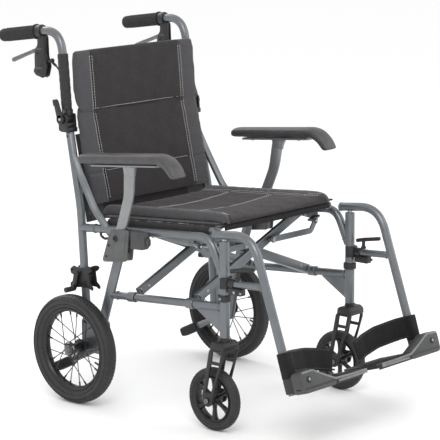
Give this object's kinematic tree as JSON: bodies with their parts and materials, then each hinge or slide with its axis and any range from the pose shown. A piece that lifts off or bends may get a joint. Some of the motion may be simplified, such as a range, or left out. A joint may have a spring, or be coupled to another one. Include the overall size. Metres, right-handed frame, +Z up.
{
  "type": "manual wheelchair",
  "caption": "Folding attendant wheelchair with small spoked rear wheels, swivel casters, flip-back armrests, half-folding back and swing-away footrests.",
  "frame": {"origin": "on the ground under the middle of the chair's overall length and width", "axes": "+Z up, the chair faces -Y, +Y points to its back and push grips, +X to the sitter's left"},
  "size_m": [0.652, 1.079, 0.9647],
  "materials": {
    "frame_paint": "satin metallic grey",
    "arm_metal": "satin light grey",
    "steel": "zinc plated",
    "lever_alloy": "satin",
    "black_plastic": "fine texture",
    "wheel_plastic": "satin",
    "pad_foam": "soft skin",
    "grip_rubber": "ribbed",
    "tyre_rubber": "moulded tread",
    "upholstery": "woven, stitched seams",
    "webbing": "woven strap"
  },
  "bodies": {
    "frame_right": {"side_frame_right": "frame_paint", "back_hinge_right": "black_plastic", "brake_caliper_right": "black_plastic", "arm_socket_right": "black_plastic", "rear_axle_right": "steel", "hanger_collar_right": "black_plastic", "tipping_pedal_right": "grip_rubber", "brake_cable_right": "black_plastic", "back_lower": "upholstery"},
    "cane_right": {"cane_right": "frame_paint", "push_grip_right": "grip_rubber", "brake_housing_right": "black_plastic", "back_upper": "upholstery"},
    "back_lever_right": {"back_lever_right": "black_plastic"},
    "brake_lever_right": {"brake_lever_right": "lever_alloy"},
    "brake_shoe_right": {"brake_shoe_right": "steel"},
    "arm_right": {"arm_post_right": "arm_metal", "arm_pad_right": "pad_foam"},
    "rear_wheel_right": {"rear_tyre_right": "tyre_rubber", "rear_wheel_right": "wheel_plastic"},
    "caster_right": {"caster_fork_right": "black_plastic", "caster_axle_right": "steel"},
    "caster_wheel_right": {"caster_tyre_right": "tyre_rubber", "caster_wheel_right": "wheel_plastic"},
    "hanger_right": {"hanger_right": "frame_paint", "heel_loop_right": "webbing"},
    "latch_lever_right": {"latch_lever_right": "black_plastic"},
    "footplate_right": {"footplate_right": "frame_paint"},
    "stay_right": {"stay_link_right": "frame_paint"},
    "frame_left": {"side_frame_left": "frame_paint", "back_hinge_left": "black_plastic", "brake_caliper_left": "black_plastic", "arm_socket_left": "black_plastic", "rear_axle_left": "steel", "hanger_collar_left": "black_plastic", "tipping_pedal_left": "grip_rubber", "brake_cable_left": "black_plastic"},
    "cane_left": {"cane_left": "frame_paint", "push_grip_left": "grip_rubber", "brake_housing_left": "black_plastic"},
    "back_lever_left": {"back_lever_left": "black_plastic"},
    "brake_lever_left": {"brake_lever_left": "lever_alloy"},
    "brake_shoe_left": {"brake_shoe_left": "steel"},
    "arm_left": {"arm_post_left": "arm_metal", "arm_pad_left": "pad_foam"},
    "rear_wheel_left": {"rear_tyre_left": "tyre_rubber", "rear_wheel_left": "wheel_plastic"},
    "caster_left": {"caster_fork_left": "black_plastic", "caster_axle_left": "steel"},
    "caster_wheel_left": {"caster_tyre_left": "tyre_rubber", "caster_wheel_left": "wheel_plastic"},
    "hanger_left": {"hanger_left": "frame_paint", "heel_loop_left": "webbing"},
    "latch_lever_left": {"latch_lever_left": "black_plastic"},
    "footplate_left": {"footplate_left": "frame_paint"},
    "stay_left": {"stay_link_left": "frame_paint"},
    "brace_a": {"cross_bar_a": "frame_paint", "centre_bolt": "steel"},
    "brace_b": {"cross_bar_b": "frame_paint"},
    "seat": {"seat_cushion": "upholstery"}
  },
  "joints": [
    {"name": "fold", "type": "hinge", "parent": "frame_right", "child": "brace_a", "pos_m": [-0.243, -0.04804, 0.30056], "axis": [0, -0.9975, 0.0708], "range_deg": [0, 52], "deforming": ["seat_cushion", "back_lower", "back_upper", "heel_loop_right", "heel_loop_left"]},
    {"name": "fold_scissor", "type": "hinge", "parent": "brace_a", "child": "brace_b", "pos_m": [0, -0.03428, 0.39551], "axis": [0, 0.9975, -0.0708], "range_deg": [0, 104]},
    {"name": "fold_left", "type": "hinge", "parent": "brace_b", "child": "frame_left", "pos_m": [0.243, -0.03407, 0.29957], "axis": [0, -0.9975, 0.0708], "range_deg": [0, 52]},
    {"name": "fold_seat", "type": "hinge", "parent": "brace_a", "child": "seat", "pos_m": [0.221, -0.02812, 0.48231], "axis": [0, 0.9975, -0.0708], "range_deg": [0, 52]},
    {"name": "stay_right", "type": "hinge", "parent": "frame_right", "child": "stay_right", "pos_m": [-0.222, -0.16131, 0.44895], "axis": [0, -0.9975, 0.0708], "range_deg": [0, 85.5]},
    {"name": "footplate_right", "type": "hinge", "parent": "hanger_right", "child": "footplate_right", "pos_m": [-0.243, -0.49783, 0.17264], "axis": [0, -0.9537, 0.3007], "range_deg": [0, 90.5]},
    {"name": "back_fold_right", "type": "hinge", "parent": "frame_right", "child": "cane_right", "pos_m": [-0.2335, 0.2933, 0.728], "axis": [-1, 0, 0], "range_deg": [0, 110], "deforming": ["back_upper", "brake_cable_right", "brake_cable_left"]},
    {"name": "back_lever_right", "type": "hinge", "parent": "frame_right", "child": "back_lever_right", "pos_m": [-0.2555, 0.2933, 0.728], "axis": [-1, 0, 0], "range_deg": [0, 20], "stiffness_Nm_per_rad": 0.4},
    {"name": "brake_lever_right", "type": "hinge", "parent": "cane_right", "child": "brake_lever_right", "pos_m": [-0.2285, 0.3963, 0.899], "axis": [1, 0, 0], "range_deg": [0, 22], "stiffness_Nm_per_rad": 0.6},
    {"name": "brake_shoe_right", "type": "hinge", "parent": "frame_right", "child": "brake_shoe_right", "pos_m": [-0.263, 0.2363, 0.335], "axis": [-1, 0, 0], "range_deg": [0, 6.6]},
    {"name": "arm_flip_right", "type": "hinge", "parent": "frame_right", "child": "arm_right", "pos_m": [-0.27, 0.0743, 0.448], "axis": [-1, 0, 0], "range_deg": [0, 90]},
    {"name": "rear_wheel_right", "type": "hinge", "parent": "frame_right", "child": "rear_wheel_right", "pos_m": [-0.297, 0.2163, 0.142], "axis": [1, 0, 0], "continuous": true},
    {"name": "caster_swivel_right", "type": "hinge", "parent": "frame_right", "child": "caster_right", "pos_m": [-0.245, -0.2612, 0.22], "axis": [0, 0, 1], "continuous": true},
    {"name": "caster_wheel_right", "type": "hinge", "parent": "caster_right", "child": "caster_wheel_right", "pos_m": [-0.245, -0.2277, 0.079], "axis": [1, 0, 0], "continuous": true},
    {"name": "hanger_swing_right", "type": "hinge", "parent": "frame_right", "child": "hanger_right", "pos_m": [-0.243, -0.2612, 0.48], "axis": [0, 0, -1], "range_deg": [0, 90]},
    {"name": "latch_lever_right", "type": "hinge", "parent": "hanger_right", "child": "latch_lever_right", "pos_m": [-0.244, -0.3057, 0.4], "axis": [0, 0, -1], "range_deg": [0, 40], "stiffness_Nm_per_rad": 0.3},
    {"name": "stay_left", "type": "hinge", "parent": "frame_left", "child": "stay_left", "pos_m": [0.222, -0.16131, 0.44895], "axis": [0, 0.9975, -0.0708], "range_deg": [0, 85.5]},
    {"name": "footplate_left", "type": "hinge", "parent": "hanger_left", "child": "footplate_left", "pos_m": [0.243, -0.49783, 0.17264], "axis": [0, 0.9537, -0.3007], "range_deg": [0, 90.5]},
    {"name": "back_fold_left", "type": "hinge", "parent": "frame_left", "child": "cane_left", "pos_m": [0.2335, 0.2933, 0.728], "axis": [-1, 0, 0], "range_deg": [0, 110]},
    {"name": "back_lever_left", "type": "hinge", "parent": "frame_left", "child": "back_lever_left", "pos_m": [0.2555, 0.2933, 0.728], "axis": [-1, 0, 0], "range_deg": [0, 20], "stiffness_Nm_per_rad": 0.4},
    {"name": "brake_lever_left", "type": "hinge", "parent": "cane_left", "child": "brake_lever_left", "pos_m": [0.2285, 0.3963, 0.899], "axis": [1, 0, 0], "range_deg": [0, 22], "stiffness_Nm_per_rad": 0.6},
    {"name": "brake_shoe_left", "type": "hinge", "parent": "frame_left", "child": "brake_shoe_left", "pos_m": [0.263, 0.2363, 0.335], "axis": [-1, 0, 0], "range_deg": [0, 6.6]},
    {"name": "arm_flip_left", "type": "hinge", "parent": "frame_left", "child": "arm_left", "pos_m": [0.27, 0.0743, 0.448], "axis": [-1, 0, 0], "range_deg": [0, 90]},
    {"name": "rear_wheel_left", "type": "hinge", "parent": "frame_left", "child": "rear_wheel_left", "pos_m": [0.297, 0.2163, 0.142], "axis": [1, 0, 0], "continuous": true},
    {"name": "caster_swivel_left", "type": "hinge", "parent": "frame_left", "child": "caster_left", "pos_m": [0.245, -0.2612, 0.22], "axis": [0, 0, 1], "continuous": true},
    {"name": "caster_wheel_left", "type": "hinge", "parent": "caster_left", "child": "caster_wheel_left", "pos_m": [0.245, -0.2277, 0.079], "axis": [1, 0, 0], "continuous": true},
    {"name": "hanger_swing_left", "type": "hinge", "parent": "frame_left", "child": "hanger_left", "pos_m": [0.243, -0.2612, 0.48], "axis": [0, 0, 1], "range_deg": [0, 90]},
    {"name": "latch_lever_left", "type": "hinge", "parent": "hanger_left", "child": "latch_lever_left", "pos_m": [0.244, -0.3057, 0.4], "axis": [0, 0, 1], "range_deg": [0, 40], "stiffness_Nm_per_rad": 0.3}
  ],
  "couplings": [
    {"joint": "fold_scissor", "follows": "fold", "ratio": 2},
    {"joint": "fold_left", "follows": "fold", "ratio": 1},
    {"joint": "fold_seat", "follows": "fold", "ratio": 1},
    {"joint": "stay_right", "follows": "fold", "ratio": 1.638},
    {"joint": "footplate_right", "follows": "fold", "ratio": 1.7308},
    {"joint": "brake_shoe_right", "follows": "brake_lever_right", "ratio": 0.3},
    {"joint": "stay_left", "follows": "fold", "ratio": 1.638},
    {"joint": "footplate_left", "follows": "fold", "ratio": 1.7308},
    {"joint": "brake_shoe_left", "follows": "brake_lever_left", "ratio": 0.3},
    {"joint": "back_fold_left", "follows": "back_fold_right", "ratio": 1}
  ]
}
